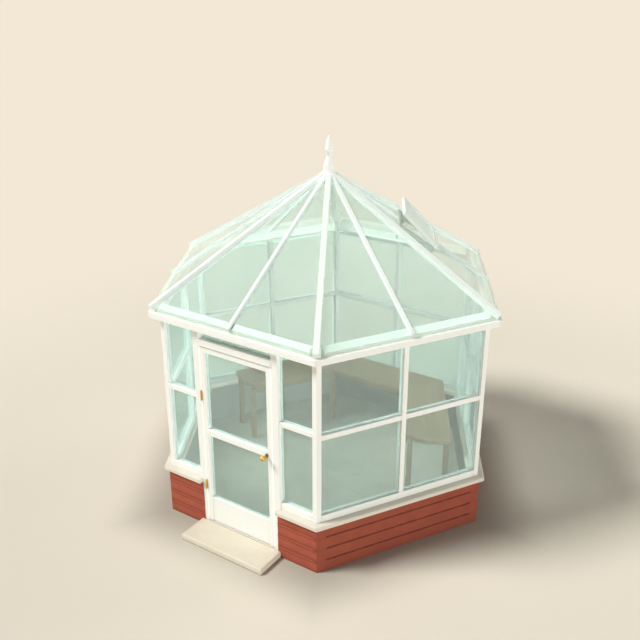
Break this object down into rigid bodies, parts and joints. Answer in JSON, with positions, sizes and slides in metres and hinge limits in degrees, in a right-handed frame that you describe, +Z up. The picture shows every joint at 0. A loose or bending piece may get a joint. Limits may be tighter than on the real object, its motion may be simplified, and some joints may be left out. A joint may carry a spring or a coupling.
{
  "type": "hexagonal greenhouse",
  "caption": "Hexagonal garden greenhouse: glazed timber frames on a low masonry wall, hipped glass roof with finial, hinged door and opening roof vent.",
  "frame": {"origin": "centre of the hexagon at ground level", "axes": "+Z up; -Y is the outward normal of the side that holds the door; +X is to the right of someone who faces the door"},
  "size_m": [3.561, 3.3164, 3.5027],
  "materials": {
    "masonry": "matt painted brickwork",
    "bed_joint": "matt",
    "cast_stone": "fine matt",
    "floor": "matt",
    "threshold": "satin paint",
    "white_timber": "satin white paint",
    "clear_glass": "clear with a faint green tint",
    "vent_glass": "pale, slightly milky",
    "brass": "polished",
    "steel": "plain",
    "bench_timber": "bare sawn timber"
  },
  "bodies": {
    "frame": {"floor_slab": "floor", "door_step": "cast_stone", "threshold": "threshold", "wall_front_left": "masonry", "wall_front_right": "masonry", "wall_right_front": "masonry", "wall_right_back": "masonry", "wall_back": "masonry", "wall_left_back": "masonry", "wall_left_front": "masonry", "bed_joints": "bed_joint", "coping_front": "cast_stone", "coping_sides": "cast_stone", "corner_posts": "white_timber", "sill_rails": "white_timber", "mullions": "white_timber", "mid_rails": "white_timber", "head_rails": "white_timber", "side_panes": "clear_glass", "front_panes": "clear_glass", "door_posts": "white_timber", "door_head": "white_timber", "door_stops": "white_timber", "keep_plate": "brass", "hinge_frame_leaves": "brass", "door_hinge_pins": "brass", "frame_screws": "brass", "eaves_beams": "white_timber", "eaves_fascias": "white_timber", "hip_rafters": "white_timber", "roof_bars": "white_timber", "roof_panes": "clear_glass", "ridge_boss": "white_timber", "finial": "white_timber", "vent_curb": "white_timber", "vent_curb_hinges": "brass", "vent_hinge_pins": "brass", "stay_guide": "brass", "stay_screw": "brass", "bench_tops": "bench_timber", "bench_legs": "bench_timber", "bench_rails": "bench_timber"},
    "door": {"door_stiles": "white_timber", "door_rails": "white_timber", "kick_panel": "white_timber", "door_panes": "clear_glass", "hinge_door_leaves": "brass", "leaf_screws": "brass", "lock_case": "steel", "knob_roses": "brass"},
    "door_knob": {"outer_knob": "brass", "inner_knob": "brass", "knob_spindle": "steel", "lock_pinion": "brass"},
    "door_bolt": {"rack_bolt": "steel"},
    "roof_vent": {"vent_stiles": "white_timber", "vent_rails": "white_timber", "vent_glass": "vent_glass", "vent_sash_hinges": "brass", "vent_stay": "brass"}
  },
  "joints": [
    {"name": "door_swing", "type": "hinge", "parent": "frame", "child": "door", "pos_m": [-0.386, -1.47224, 1], "axis": [0, 0, -1], "range_deg": [0, 120]},
    {"name": "knob_turn", "type": "hinge", "parent": "door", "child": "door_knob", "pos_m": [0.328, -1.43224, 1.022], "axis": [0, 1, 0], "range_deg": [0, 90]},
    {"name": "bolt_throw", "type": "slide", "parent": "door", "child": "door_bolt", "axis": [1, 0, 0], "range_m": [0, 0.02]},
    {"name": "vent_swing", "type": "hinge", "parent": "frame", "child": "roof_vent", "pos_m": [0.85666, 0.49459, 2.53289], "axis": [-0.5, 0.866, 0], "range_deg": [-11.7, 28.3]}
  ],
  "couplings": [
    {"joint": "bolt_throw", "follows": "knob_turn", "m_per_rad": 0.012732}
  ]
}
